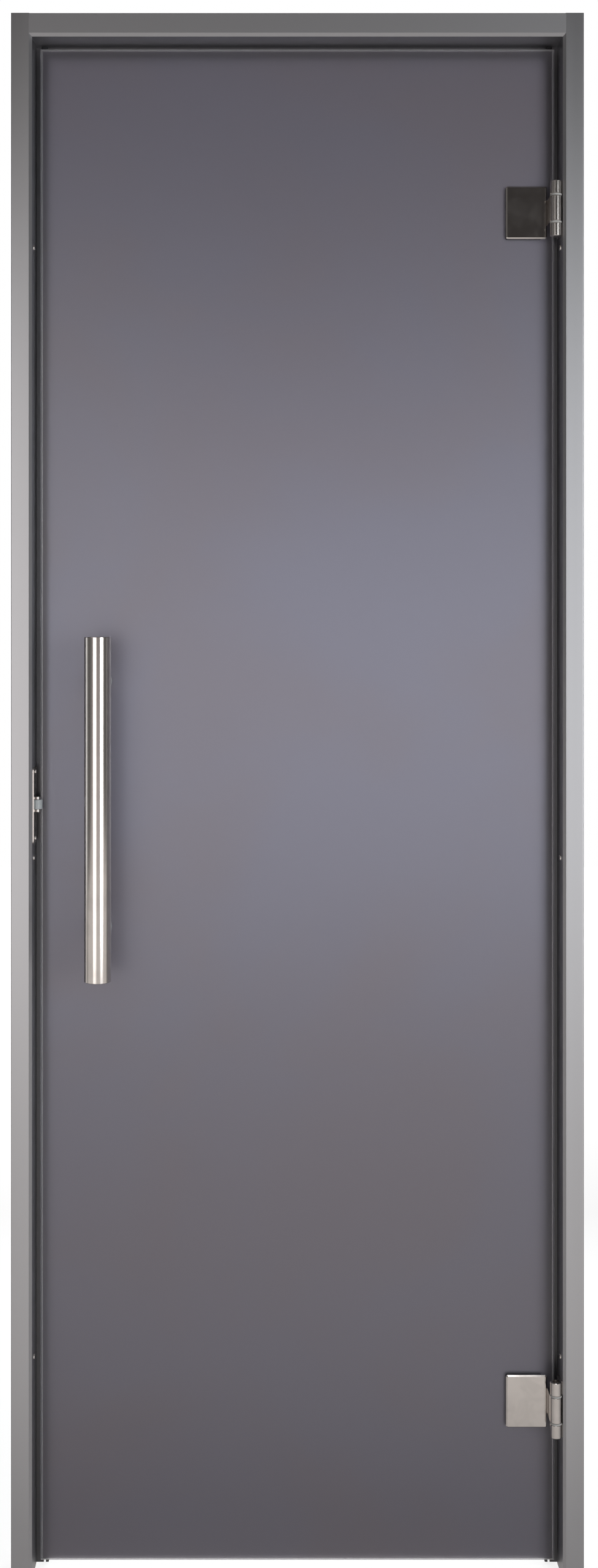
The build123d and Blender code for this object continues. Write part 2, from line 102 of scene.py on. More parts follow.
class FrameFinish(bpy.types.PropertyGroup):
    """Satin anodised aluminium of the jambs, the head and the stops; the stops' darker colour is painted
    shade for the recess behind the glass.
    """

    color: color_property("Colour", "Anodised aluminium", (0.46, 0.46, 0.478))
    # Painted shade: the stops are darkened for the shaded recess between the frame and the glass.
    stop_painted_shade_color: color_property("Stops", "Darker anodised stops behind the glass", (0.13, 0.13, 0.135))
    roughness: share_property("Roughness", "Sheen of the uprights", 0.38)
    level_roughness: share_property("Level roughness", "Sheen of the head, whose grain lies across", 0.47)
    roughness_change: share_property("Sheen change", "How far the sheen wanders", 0.035)
    grain_pitch: length_property("Grain pitch", "Distance between extrusion lines", 0.0011)
    grain_stretch: scale_property("Grain stretch", "Changes per metre along the lines", 1.5)
    grain_depth: length_property("Grain depth", "Height of the extrusion lines", 0.000006)


class GlassFinish(bpy.types.PropertyGroup):
    """Satin etched grey glass with a polished arris."""

    color: color_property("Colour", "Etched grey glass", (0.216, 0.204, 0.254))
    # Painted reflection: clouds of this warmer grey stand in for the studio mirrored in the glass.
    painted_reflection_color: color_property("Warm colour", "Where the grey leans warm", (0.226, 0.204, 0.241))
    # Painted highlight: the near-white arris colour stands in for the light that the polished edge
    # catches.
    arris_highlight_color: color_property("Arris colour", "Polished edge", (0.95, 0.95, 0.97))
    roughness: share_property("Roughness", "Etched face", 0.72)
    sheen: share_property("Sheen", "Roughness of the soft gloss over the etched face", 0.33)
    arris_roughness: share_property("Arris roughness", "Polished edge", 0.2)
    roughness_change: share_property("Roughness change", "How far the etching wanders", 0.015)
    # Size of the clouds of painted reflection.
    reflection_cloud_scale: scale_property("Clouds", "Clouds of warmer grey per metre", 3.2)
    tooth_scale: scale_property("Tooth", "Teeth of the etched face per metre", 1400.0)
    tooth_depth: length_property("Tooth depth", "Depth of the etched tooth", 0.000012)
    refraction: scale_property("Refraction", "Index of refraction", 1.52)
    transmission: share_property("Transmission", "Share of light that passes", 0.7)
    arris: length_property("Arris width", "Width of the polished bevel", 0.003)


class SteelFinish(bpy.types.PropertyGroup):
    """Fine polished stainless steel."""

    color: color_property("Colour", "Polished stainless steel", (0.63, 0.595, 0.57))
    bar_roughness: share_property("Bar roughness", "Polish of the pull handles", 0.13)
    leaf_roughness: share_property("Leaf roughness", "Polish of the barrels and the catch", 0.19)
    plate_roughness: share_property("Plate roughness", "Polish of the plates on the glass", 0.1)
    smudge: share_property("Smudges", "How much dullness wiping leaves", 0.02)
    plate_smudge: share_property("Plate smudges", "How much dullness hands leave on a plate", 0.06)
    patch_scale: scale_property("Patches", "Smudges per metre", 42.0)
    line_scale: scale_property("Lines", "Polishing lines per metre", 2600.0)
    line_stretch: scale_property("Line stretch", "Changes per metre along the lines", 25.0)
    scratch_depth: length_property("Scratch depth", "Depth of the polishing lines", 0.0000012)


class PlasticFinish(bpy.types.PropertyGroup):
    """Seals, gaskets, washers and the roller."""

    patch_scale: scale_property("Patches", "Changes of tone per metre", 60.0)
    roughness_change: share_property("Roughness change", "How far the sheen wanders", 0.05)
    seal_color: color_property("Seal", "Black rubber", (0.022, 0.022, 0.024))
    gasket_color: color_property("Gasket", "Dark fibre", (0.06, 0.06, 0.062))
    washer_color: color_property("Hinge washers", "White nylon", (0.78, 0.77, 0.75))
    foot_color: color_property("Foot washers", "Grey plastic", (0.45, 0.46, 0.48))
    roller_color: color_property("Roller", "Pale grey nylon", (0.68, 0.72, 0.74))


class ScrewSizes(bpy.types.PropertyGroup):
    """Heads of the small screws."""

    pan_radius: length_property("Pan head", "Radius of the frame's screw heads", 0.0033)
    catch_radius: length_property("Catch head", "Radius of the catch plate's screw heads", 0.0028)
    pan_share: share_property("Pan height", "Height of a pan head, in radii", 0.5)
    flat_radius: length_property("Flat head", "Radius of the countersunk heads", 0.0036)
    clamp_radius: length_property("Clamp head", "Radius of the clamp plates' screws", 0.0052)
    proud: length_property("Proud", "How far a countersunk head stands out", 0.0003)
    facets: IntProperty(name="Facets", description="Sides of a round head", default=24, min=8)


class Studio(bpy.types.PropertyGroup):
    """Camera, lamps, floor and backdrop."""

    camera_place: place_property("Camera", "Where the camera stands", (-0.386, -2.18, 1.168))
    camera_shift: FloatVectorProperty(
        name="Shift", description="Shift of the picture, in heights", size=2, default=(0.0227, -0.1094)
    )
    lens: FloatProperty(
        name="Lens", description="Focal length on a 36 mm high sensor", default=41.0, unit="CAMERA"
    )
    left_place: place_property("Left lamp", "Where the left softbox stands", (-1.3, -2.1, 1.14))
    right_place: place_property("Right lamp", "Where the right softbox stands", (1.15, -2.1, 1.14))
    softbox_size: FloatVectorProperty(
        name="Softboxes", description="Width and height of the two tall lamps", size=2,
        default=(1.15, 1.76), unit="LENGTH",
    )
    softbox_spread: spread_property("Spread", "How wide the softboxes' grids let light out", 58)
    top_spread: spread_property("Top spread", "How wide the top lamp's grid lets light out", 40)
    aim_height: length_property("Aim", "Height that the softboxes point at", 1.0)
    left_power: power_property("Left lamp", 1.65)
    right_power: power_property("Right lamp", 4.35)
    top_power: power_property("Top lamp", 0.3)
    back_power: power_property("Back lamp", 7.6)
    warm: color_property("Warm lamp", "Tint of the left lamp", (1.0, 0.97, 0.945))
    cool: color_property("Cool lamp", "Tint of the right lamp", (0.95, 0.985, 1.0))
    back_tint: color_property("Back lamp tint", "Tint of the lamp behind the glass", (0.85, 0.945, 1.0))
    back_offset: FloatProperty(
        name="Back offset", description="How far the back lamp stands to the right", default=0.22,
        subtype="DISTANCE", unit="LENGTH",
    )
    floor_color: color_property("Floor", "Pale floor", (0.72, 0.70, 0.68))
    floor_glow: share_property("Floor glow", "Light of the floor in polish and glass", 0.68)
    floor_tint: color_property("Floor tint", "Tint of the floor in polish and glass", (1.0, 0.95, 0.91))
    floor_shade: share_property("Floor shade", "Share of the floor's glow left by the door", 0.45)
    floor_white: share_property("Floor white", "Light of the floor to the camera by the door", 0.8)
    ambient: share_property("Ambient", "Even light of the room", 0.04)
    room_color: color_property("Room", "What polish mirrors ahead, low down", (0.68, 0.615, 0.6))
    side_color: color_property("Sides", "What polish mirrors to the sides", (0.15, 0.145, 0.14))
    behind_color: color_property("Behind", "What glass shows from behind, low down", (1.0, 1.0, 1.0))
    behind_high_color: color_property("Behind, high", "What glass shows from high up", (0.62, 0.6, 0.61))
    dark_color: color_property("Dark", "What polish mirrors in front, high up", (0.045, 0.042, 0.041))


class DoorSettings(bpy.types.PropertyGroup):
    """All settings of the door's looks."""

    frame: PointerProperty(type=FrameFinish, name="Frame", description="Aluminium profiles")
    glass: PointerProperty(type=GlassFinish, name="Glass", description="Satin glass leaf")
    steel: PointerProperty(type=SteelFinish, name="Steel", description="Hinges, handles, catch")
    plastic: PointerProperty(type=PlasticFinish, name="Plastic", description="Seals and nylon")
    screws: PointerProperty(type=ScrewSizes, name="Screws", description="Small screws")
    studio: PointerProperty(type=Studio, name="Studio", description="Camera and light")


def settings():
    """The scene's settings of the door."""
    return bpy.context.scene.steam_door


# Node trees

def add_node(tree, kind, place, **values):
    """A node at a place, with values for its properties or its input sockets by name."""
    node = tree.nodes.new(kind)
    node.location = place
    for name, value in values.items():
        socket = node.inputs.get(name.replace("_", " ").title())
        if hasattr(node, name) and socket is None:
            setattr(node, name, value)
        else:
            socket.default_value = value
    return node


def math_node(tree, operation, place, first, second=None):
    """A Math node whose two values are sockets or numbers."""
    node = tree.nodes.new("ShaderNodeMath")
    node.operation = operation
    node.location = place
    for socket, value in zip(node.inputs, (first, second)):
        if isinstance(value, bpy.types.NodeSocket):
            tree.links.new(value, socket)
        elif value is not None:
            socket.default_value = value
    return node.outputs[0]


def spread(tree, value, low, high, place):
    """A value between 0 and 1 spread from low to high."""
    node = add_node(tree, "ShaderNodeMapRange", place)
    node.inputs["To Min"].default_value = low
    node.inputs["To Max"].default_value = high
    tree.links.new(value, node.inputs["Value"])
    return node.outputs["Result"]


def ease(tree, value, start, end, place, low=0.0, high=1.0):
    """A smooth step from low to high while a value goes from start to end."""
    node = add_node(tree, "ShaderNodeMapRange", place, interpolation_type="SMOOTHSTEP")
    node.inputs["From Min"].default_value = start
    node.inputs["From Max"].default_value = end
    node.inputs["To Min"].default_value = low
    node.inputs["To Max"].default_value = high
    tree.links.new(value, node.inputs["Value"])
    return node.outputs["Result"]


def mix_colors(tree, factor, first, second, place):
    """Two colours mixed by a mask."""
    node = tree.nodes.new("ShaderNodeMix")
    node.data_type = "RGBA"
    node.location = place
    tree.links.new(factor, node.inputs["Factor"])
    for socket, value in ((node.inputs[6], first), (node.inputs[7], second)):
        if isinstance(value, bpy.types.NodeSocket):
            tree.links.new(value, socket)
        else:
            socket.default_value = (*value, 1.0)
    return node.outputs[2]


def new_group(name, inputs, outputs):
    """An empty shader group with named sockets, each a name and its kind."""
    group = bpy.data.node_groups.new(name, "ShaderNodeTree")
    for label, kind in inputs:
        group.interface.new_socket(name=label, in_out="INPUT", socket_type=kind)
    for label, kind in outputs:
        group.interface.new_socket(name=label, in_out="OUTPUT", socket_type=kind)
    entry = group.nodes.new("NodeGroupInput")
    entry.location = (-600, 0)
    exit_node = group.nodes.new("NodeGroupOutput")
    exit_node.location = (600, 0)
    return group, entry, exit_node


def grain_group():
    """Fine lines along one direction, with a slower change of tone across them."""
    name = "Drawn Grain"
    if name in bpy.data.node_groups:
        return bpy.data.node_groups[name]
    group, entry, exit_node = new_group(
        name,
        [("Vector", "NodeSocketVector")],
        [("Lines", "NodeSocketFloat"), ("Tone", "NodeSocketFloat")],
    )
    lines = add_node(group, "ShaderNodeTexNoise", (-200, 150), scale=1.0, detail=3.0, roughness=0.6)
    tone = add_node(group, "ShaderNodeTexNoise", (-200, -150), scale=0.045, detail=2.0, roughness=0.5)
    for node in (lines, tone):
        group.links.new(entry.outputs["Vector"], node.inputs["Vector"])
    group.links.new(lines.outputs["Fac"], exit_node.inputs["Lines"])
    group.links.new(tone.outputs["Fac"], exit_node.inputs["Tone"])
    return group


def marks_and_reflection_group():
    """Soft patches, from 0 for clean to 1: on steel what handling and wiping leave, on plastic a tone
    that wanders, on the glass clouds of painted reflection.
    """
    name = "Handling Marks"
    if name in bpy.data.node_groups:
        return bpy.data.node_groups[name]
    group, entry, exit_node = new_group(
        name,
        [("Vector", "NodeSocketVector"), ("Patch Scale", "NodeSocketFloat")],
        [("Patches", "NodeSocketFloat"), ("Specks", "NodeSocketFloat")],
    )
    patches = add_node(group, "ShaderNodeTexNoise", (-300, 150), detail=4.0, roughness=0.55)
    patches.inputs["Distortion"].default_value = 0.6
    specks = add_node(group, "ShaderNodeTexNoise", (-300, -200), detail=2.0, roughness=0.7)
    finer = math_node(group, "MULTIPLY", (-450, -250), entry.outputs["Patch Scale"], 23.0)
    group.links.new(entry.outputs["Vector"], patches.inputs["Vector"])
    group.links.new(entry.outputs["Vector"], specks.inputs["Vector"])
    group.links.new(entry.outputs["Patch Scale"], patches.inputs["Scale"])
    group.links.new(finer, specks.inputs["Scale"])
    marked = ease(group, patches.outputs["Fac"], 0.38, 0.68, (0, 150))
    group.links.new(marked, exit_node.inputs["Patches"])
    group.links.new(specks.outputs["Fac"], exit_node.inputs["Specks"])
    return group


def tooth_group():
    """A fine even tooth, as etching or a mould leaves it."""
    name = "Fine Tooth"
    if name in bpy.data.node_groups:
        return bpy.data.node_groups[name]
    group, entry, exit_node = new_group(
        name,
        [("Vector", "NodeSocketVector"), ("Scale", "NodeSocketFloat")],
        [("Height", "NodeSocketFloat")],
    )
    tooth = add_node(group, "ShaderNodeTexNoise", (0, 0), detail=2.0)
    group.links.new(entry.outputs["Vector"], tooth.inputs["Vector"])
    group.links.new(entry.outputs["Scale"], tooth.inputs["Scale"])
    group.links.new(tooth.outputs["Fac"], exit_node.inputs["Height"])
    return group


def new_material(name):
    """A material with a Principled shader; gives the material and its tree, shader and mapping."""
    material = bpy.data.materials.new(name)
    material.use_nodes = True
    tree = material.node_tree
    shader = tree.nodes["Principled BSDF"]
    coordinates = add_node(tree, "ShaderNodeTexCoord", (-1100, 0))
    mapping = add_node(tree, "ShaderNodeMapping", (-900, 0))
    tree.links.new(coordinates.outputs["Object"], mapping.inputs["Vector"])
    return material, tree, shader, mapping


def use_group(tree, group, place, vector):
    """A shader group placed in a tree, fed by a mapping node."""
    node = tree.nodes.new("ShaderNodeGroup")
    node.node_tree = group
    node.location = place
    tree.links.new(vector.outputs["Vector"], node.inputs["Vector"])
    return node


def add_bump(tree, shader, height, depth, place=(-200, -400)):
    """A bump of this depth from a height between 0 and 1."""
    bump = add_node(tree, "ShaderNodeBump", place)
    bump.inputs["Strength"].default_value = 1.0
    bump.inputs["Distance"].default_value = depth
    tree.links.new(height, bump.inputs["Height"])
    tree.links.new(bump.outputs["Normal"], shader.inputs["Normal"])


def tint(tree, shader, mask, color, low, high):
    """A base colour that goes from a darker to a lighter share of itself with a mask."""
    darker = [channel * low for channel in color]
    lighter = [min(channel * high, 1.0) for channel in color]
    tree.links.new(mix_colors(tree, mask, darker, lighter, (-250, 250)), shader.inputs["Base Color"])


# Materials

def aluminium(name, color, along, roughness):
    """Satin anodised aluminium with extrusion lines along one axis."""
    look = settings().frame
    material, tree, shader, mapping = new_material(name)
    pitch = [1.0 / look.grain_pitch] * 3
    pitch[along] = look.grain_stretch
    mapping.inputs["Scale"].default_value = pitch
    grain = use_group(tree, grain_group(), (-650, 100), mapping)
    shader.inputs["Metallic"].default_value = 1.0
    tint(tree, shader, grain.outputs["Tone"], color, 0.95, 1.05)
    low = roughness - look.roughness_change
    high = roughness + look.roughness_change
    sheen = spread(tree, grain.outputs["Tone"], low, high, (-400, -100))
    tree.links.new(sheen, shader.inputs["Roughness"])
    add_bump(tree, shader, grain.outputs["Lines"], look.grain_depth)
    return material


def pane_edge_mask(tree, vector, arris):
    """1 on the pane's polished bevel and edge, 0 on its faces."""
    low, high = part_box("glass_pane")
    middle = (low + high) / 2
    half = (high - low) / 2
    split = add_node(tree, "ShaderNodeSeparateXYZ", (-700, 500))
    tree.links.new(vector.outputs["Vector"], split.inputs["Vector"])
    distances = []
    for row, axis in enumerate((0, 2)):
        place = (-550 + 120 * row, 500 - 150 * row)
        offset = math_node(tree, "SUBTRACT", place, split.outputs[axis], middle[axis])
        size = math_node(tree, "ABSOLUTE", place, offset)
        distances.append(math_node(tree, "SUBTRACT", place, size, half[axis] - arris))
    nearest = math_node(tree, "MAXIMUM", (-300, 500), distances[0], distances[1])
    return math_node(tree, "GREATER_THAN", (-150, 500), nearest, 0.00001)


def satin_glass():
    """Etched grey glass: faint clouds of warmer grey that are painted reflection, a fine tooth, and a
    polished edge with a painted highlight in its near-white colour.
    """
    look = settings().glass
    material, tree, shader, mapping = new_material("Satin Grey Glass")
    marks = use_group(tree, marks_and_reflection_group(), (-650, 0), mapping)
    marks.inputs["Patch Scale"].default_value = look.reflection_cloud_scale
    edge = pane_edge_mask(tree, mapping, look.arris)
    # Painted reflection: clouds of warmer grey over the etched face.
    face = mix_colors(tree, marks.outputs["Patches"], look.color, look.painted_reflection_color, (-400, 250))
    # Painted highlight: the polished arris is given a near-white colour.
    color = mix_colors(tree, edge, face, look.arris_highlight_color, (-200, 250))
    tree.links.new(color, shader.inputs["Base Color"])
    low = look.roughness - look.roughness_change
    high = look.roughness + look.roughness_change
    etched = spread(tree, marks.outputs["Patches"], low, high, (-400, -50))
    roughness = tree.nodes.new("ShaderNodeMix")
    roughness.location = (-200, -50)
    roughness.inputs[3].default_value = look.arris_roughness
    tree.links.new(edge, roughness.inputs["Factor"])
    tree.links.new(etched, roughness.inputs[2])
    tree.links.new(roughness.outputs[0], shader.inputs["Roughness"])
    tooth = use_group(tree, tooth_group(), (-650, -350), mapping)
    tooth.inputs["Scale"].default_value = look.tooth_scale
    add_bump(tree, shader, tooth.outputs["Height"], look.tooth_depth)
    shader.inputs["Transmission Weight"].default_value = look.transmission
    shader.inputs["Specular IOR Level"].default_value = 1.0
    shader.inputs["Coat Weight"].default_value = 1.0
    shader.inputs["Coat Roughness"].default_value = look.sheen
    shader.inputs["IOR"].default_value = look.refraction
    return material


def polished_steel(name, roughness, along, smudge):
    """Polished stainless steel with hair-fine lines along one axis and smudges."""
    look = settings().steel
    material, tree, shader, mapping = new_material(name)
    lines = add_node(tree, "ShaderNodeMapping", (-900, -350))
    pitch = [look.line_scale] * 3
    pitch[along] = look.line_stretch
    lines.inputs["Scale"].default_value = pitch
    coordinates = mapping.inputs["Vector"].links[0].from_socket
    tree.links.new(coordinates, lines.inputs["Vector"])
    grain = use_group(tree, grain_group(), (-650, -350), lines)
    marks = use_group(tree, marks_and_reflection_group(), (-650, 100), mapping)
    marks.inputs["Patch Scale"].default_value = look.patch_scale
    shader.inputs["Metallic"].default_value = 1.0
    tint(tree, shader, marks.outputs["Patches"], look.color, 1.03, 0.95)
    dull = spread(tree, marks.outputs["Patches"], roughness, roughness + smudge, (-400, -50))
    tree.links.new(dull, shader.inputs["Roughness"])
    add_bump(tree, shader, grain.outputs["Lines"], look.scratch_depth)
    return material


def moulded(name, color, roughness, tooth_scale, tooth_depth):
    """Rubber, fibre or nylon: an even colour that wanders a little, and a fine tooth."""
    look = settings().plastic
    material, tree, shader, mapping = new_material(name)
    marks = use_group(tree, marks_and_reflection_group(), (-650, 100), mapping)
    marks.inputs["Patch Scale"].default_value = look.patch_scale
    tint(tree, shader, marks.outputs["Patches"], color, 0.9, 1.06)
    low = roughness - look.roughness_change
    high = roughness + look.roughness_change
    sheen = spread(tree, marks.outputs["Specks"], low, high, (-400, -100))
    tree.links.new(sheen, shader.inputs["Roughness"])
    tooth = use_group(tree, tooth_group(), (-650, -350), mapping)
    tooth.inputs["Scale"].default_value = tooth_scale
    add_bump(tree, shader, tooth.outputs["Height"], tooth_depth)
    return material


def dress(nodes, material):
    """Gives CAD nodes a material."""
    for name in nodes:
        slots = frame["nodes"][name].data.materials
        slots.clear()
        slots.append(material)


def smooth_faces(piece, angle=math.radians(35)):
    """Smooth shading with sharp edges kept."""
    piece.data.polygons.foreach_set("use_smooth", [True] * len(piece.data.polygons))
    piece.data.set_sharp_from_angle(angle=angle)


# Screws

def cross_head(outline, recess, depth, facets):
    """A screw head about +Z with its foot at z = 0: a spun outline and a tapered cross recess.

    The outline lists radius and height from the foot's rim to the top face's rim.
    """
    shape = bmesh.new()
    rim = [shape.verts.new((radius, 0, height)) for radius, height in outline]
    edges = [shape.edges.new(pair) for pair in zip(rim, rim[1:])]
    bmesh.ops.spin(
        shape, geom=rim + edges, cent=(0, 0, 0), axis=(0, 0, 1), angle=math.tau,
        steps=facets, use_merge=True,
    )
    top = outline[-1][1]
    ring = [
        edge for edge in shape.edges
        if edge.is_boundary and all(abs(vert.co.z - top) < 1e-7 for vert in edge.verts)
    ]
    grid = bmesh.ops.create_grid(
        shape, x_segments=3, y_segments=3, size=recess, matrix=Matrix.Translation((0, 0, top))
    )
    cells = {face for vert in grid["verts"] for face in vert.link_faces}
    corners = [
        face for face in cells
        if min(abs(face.calc_center_median().x), abs(face.calc_center_median().y)) > recess / 3
    ]
    cross = list(cells.difference(corners))
    bmesh.ops.delete(shape, geom=corners, context="FACES")
    outer = [edge for face in cross for edge in face.edges if edge.is_boundary]
    bmesh.ops.bridge_loops(shape, edges=ring + outer)
    sunk = bmesh.ops.extrude_face_region(shape, geom=cross)
    floor = [item for item in sunk["geom"] if isinstance(item, bmesh.types.BMVert)]
    taper = Matrix.Translation((0, 0, -depth)) @ Matrix.Diagonal((0.7, 0.7, 1, 1))
    bmesh.ops.transform(shape, matrix=taper, verts=floor)
    bmesh.ops.recalc_face_normals(shape, faces=shape.faces)
    return shape


def set_screws(name, body, head, places, material):
    """One joined piece of screw heads; places lists each head's seat and the way that it faces."""
    single = bpy.data.meshes.new(name + "_head")
    head.to_mesh(single)
    head.free()
    first_turn = 0.3
    turn_step = 0.7
    joined = bmesh.new()
    for count, (seat, outward) in enumerate(places):
        start = len(joined.verts)
        joined.from_mesh(single)
        joined.verts.ensure_lookup_table()
        turned = Matrix.Rotation(turn_step * count + first_turn, 4, "Z")
        facing = Vector(outward).to_track_quat("Z", "Y").to_matrix().to_4x4()
        seated = Matrix.Translation(seat) @ facing @ turned
        bmesh.ops.transform(joined, matrix=seated, verts=joined.verts[start:])
    mesh = bpy.data.meshes.new(name)
    joined.to_mesh(mesh)
    joined.free()
    bpy.data.meshes.remove(single)
    piece = bpy.data.objects.new(name, mesh)
    bpy.context.collection.objects.link(piece)
    mesh.materials.append(material)
    smooth_faces(piece)
    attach(piece, body)
    return piece


def pan_head(radius):
    """A low rounded head."""
    size = settings().screws
    height = radius * size.pan_share
    outline = [
        (radius, 0),
        (radius, 0.35 * height),
        (0.93 * radius, 0.66 * height),
        (0.76 * radius, 0.9 * height),
        (0.6 * radius, height),
    ]
    return cross_head(outline, 0.42 * radius, 0.5 * height, size.facets)


def flat_head(radius):
    """A countersunk head that stands a little proud of its plate."""
    size = settings().screws
    outline = [(radius, 0), (0.97 * radius, 0.7 * size.proud), (0.9 * radius, size.proud)]
    return cross_head(outline, 0.5 * radius, 0.9 * size.proud, size.facets)


def screw_steel():
    """The one steel of all screw heads."""
    name = "Screw Steel"
    if name in bpy.data.materials:
        return bpy.data.materials[name]
    look = settings().steel
    return polished_steel(name, look.leaf_roughness, ALONG_Z, look.smudge)


# Operators

class STEAMDOOR_OT_finish_frame(bpy.types.Operator):
    """Anodised aluminium on the jambs and the head, and on the stops aluminium darkened with painted
    shade
    """

    bl_idname = "steam_door.finish_frame"
    bl_label = "Finish Frame"

    def execute(self, context):
        look = settings().frame
        dress(JAMBS, aluminium("Anodised Jambs", look.color, ALONG_Z, look.roughness))
        dress(["head"], aluminium("Anodised Head", look.color, ALONG_X, look.level_roughness))
        # The stops' colour is painted shade for the dark recess behind the glass.
        color = look.stop_painted_shade_color
        dress(UPRIGHT_STOPS, aluminium("Dark Upright Stops", color, ALONG_Z, look.roughness))
        dress(["head_stop"], aluminium("Dark Head Stop", color, ALONG_X, look.level_roughness))
        return {"FINISHED"}


class STEAMDOOR_OT_finish_glass(bpy.types.Operator):
    """Satin etched grey glass on the leaf"""

    bl_idname = "steam_door.finish_glass"
    bl_label = "Finish Glass"

    def execute(self, context):
        dress(["glass_pane"], satin_glass())
        return {"FINISHED"}


class STEAMDOOR_OT_finish_seals(bpy.types.Operator):
    """Black rubber on the seals"""

    bl_idname = "steam_door.finish_seals"
    bl_label = "Finish Seals"

    def execute(self, context):
        color = settings().plastic.seal_color
        rubber = moulded(
            "Seal Rubber", color,
            roughness=0.62, tooth_scale=900.0, tooth_depth=0.00002,
        )
        dress(SEALS, rubber)
        return {"FINISHED"}


class STEAMDOOR_OT_finish_hinges(bpy.types.Operator):
    """Polished steel, nylon washers and fibre gaskets on both hinges"""

    bl_idname = "steam_door.finish_hinges"
    bl_label = "Finish Hinges"

    def execute(self, context):
        look = settings()
        steel = look.steel
        leaf = polished_steel("Hinge Leaf Steel", steel.leaf_roughness, ALONG_Z, steel.smudge)
        plate = polished_steel(
            "Hinge Plate Steel", steel.plate_roughness, ALONG_Z, steel.plate_smudge
        )
        nylon = moulded(
            "Washer Nylon", look.plastic.washer_color,
            roughness=0.4, tooth_scale=1500.0, tooth_depth=0.000008,
        )
        fibre = moulded(
            "Gasket Fibre", look.plastic.gasket_color,
            roughness=0.75, tooth_scale=700.0, tooth_depth=0.00003,
        )
        for place in HINGES:
            dress([f"{place}_hinge_{piece}" for piece in ("frame_leaf", "glass_leaf", "pin")], leaf)
            dress([f"{place}_hinge_{piece}" for piece in ("cover_plate", "inner_plate")], plate)
            dress([f"{place}_hinge_washers"], nylon)
            dress([f"{place}_hinge_gaskets"], fibre)
        return {"FINISHED"}


class STEAMDOOR_OT_finish_handles(bpy.types.Operator):
    """Polished steel bars and posts, and grey washers under the posts"""

    bl_idname = "steam_door.finish_handles"
    bl_label = "Finish Handles"

    def execute(self, context):
        look = settings()
        steel = look.steel
        bar = polished_steel("Handle Steel", steel.bar_roughness, ALONG_Z, steel.smudge)
        foot = moulded(
            "Foot Washer Plastic", look.plastic.foot_color,
            roughness=0.3, tooth_scale=1200.0, tooth_depth=0.000006,
        )
        for side in SIDES:
            dress([f"{side}_handle_{piece}" for piece in ("tube", "caps", "posts")], bar)
            dress([f"{side}_handle_washers"], foot)
        dress(["handle_studs"], bar)
        return {"FINISHED"}


class STEAMDOOR_OT_finish_catch(bpy.types.Operator):
    """Steel plate, case and carriage of the catch, and its nylon roller"""

    bl_idname = "steam_door.finish_catch"
    bl_label = "Finish Catch"

    def execute(self, context):
        look = settings()
        finish = look.steel
        steel = polished_steel("Catch Steel", finish.leaf_roughness, ALONG_Z, finish.smudge)
        nylon = moulded(
            "Roller Nylon", look.plastic.roller_color,
            roughness=0.42, tooth_scale=1500.0, tooth_depth=0.00001,
        )
        dress(["catch_plate", "catch_case", "catch_carriage", "catch_axle"], steel)
        dress(["catch_roller"], nylon)
        return {"FINISHED"}


class STEAMDOOR_OT_add_frame_screws(bpy.types.Operator):
    """Pan head screws over the fixing holes in both reveals"""

    bl_idname = "steam_door.add_frame_screws"
    bl_label = "Add Frame Screws"

    def execute(self, context):
        latch_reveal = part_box("latch_jamb")[1].x
        hinge_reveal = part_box("hinge_jamb")[0].x
        places = []
        for row in frame["record"]["mounts"]:
            if row["kind"] != "bolt_pattern":
                continue
            _, depth, middle = row["pos_m"]
            half = row["dims"]["spacing_y_mm"] / 2000
            latch_side = row["pos_m"][0] < latch_reveal
            reveal = latch_reveal if latch_side else hinge_reveal
            outward = (1, 0, 0) if latch_side else (-1, 0, 0)
            for height in (middle - half, middle + half):
                place = ((reveal, depth, round(height, 6)), outward)
                if place not in places:
                    places.append(place)
        head = pan_head(settings().screws.pan_radius)
        set_screws("frame_fixing_screws", "frame", head, places, screw_steel())
        return {"FINISHED"}


class STEAMDOOR_OT_add_stop_screws(bpy.types.Operator):
    """Countersunk screws along the inner edges of the stops"""

    bl_idname = "steam_door.add_stop_screws"
    bl_label = "Add Stop Screws"

    def execute(self, context):
        end_margin = 0.09
        upright_count = 5
        level_count = 3
        places = []
        for node, edge, outward in (("latch_stop", 1, (1, 0, 0)), ("hinge_stop", 0, (-1, 0, 0))):
            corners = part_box(node)
            depth = (corners[0].y + corners[1].y) / 2
            run = corners[1].z - corners[0].z - 2 * end_margin
            for row in range(upright_count):
                height = corners[0].z + end_margin + run * row / (upright_count - 1)
                places.append(((corners[edge].x, depth, height), outward))
        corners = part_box("head_stop")
        depth = (corners[0].y + corners[1].y) / 2
        run = corners[1].x - corners[0].x - 2 * end_margin
        for row in range(level_count):
            along = corners[0].x + end_margin + run * row / (level_count - 1)
            places.append(((along, depth, corners[0].z), (0, 0, -1)))
        head = flat_head(settings().screws.flat_radius)
        set_screws("stop_screws", "frame", head, places, screw_steel())
        return {"FINISHED"}


